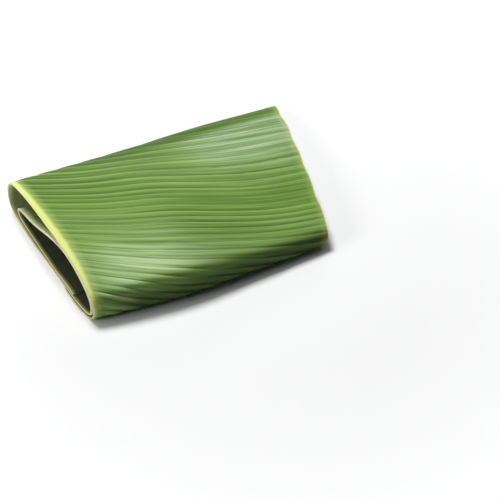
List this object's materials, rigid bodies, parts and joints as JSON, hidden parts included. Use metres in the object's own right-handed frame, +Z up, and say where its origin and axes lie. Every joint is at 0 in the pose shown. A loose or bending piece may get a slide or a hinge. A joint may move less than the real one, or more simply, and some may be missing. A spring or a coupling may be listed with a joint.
{
  "type": "banana leaf",
  "caption": "Half of a banana leaf blade rolled flat into a low bundle, with raised parallel side veins and a pale edge where it was cut from the midrib.",
  "frame": {"origin": "on the table, under the centre of the bundle's bounding box", "axes": "+X along the roll, from the cut midrib edge to the natural margin; +Y from the front fold to the back fold; +Z up from the table"},
  "size_m": [0.3088, 0.2166, 0.052],
  "materials": {
    "leaf_blade": null
  },
  "bodies": {
    "root": {"banana_leaf": "leaf_blade"}
  },
  "joints": []
}
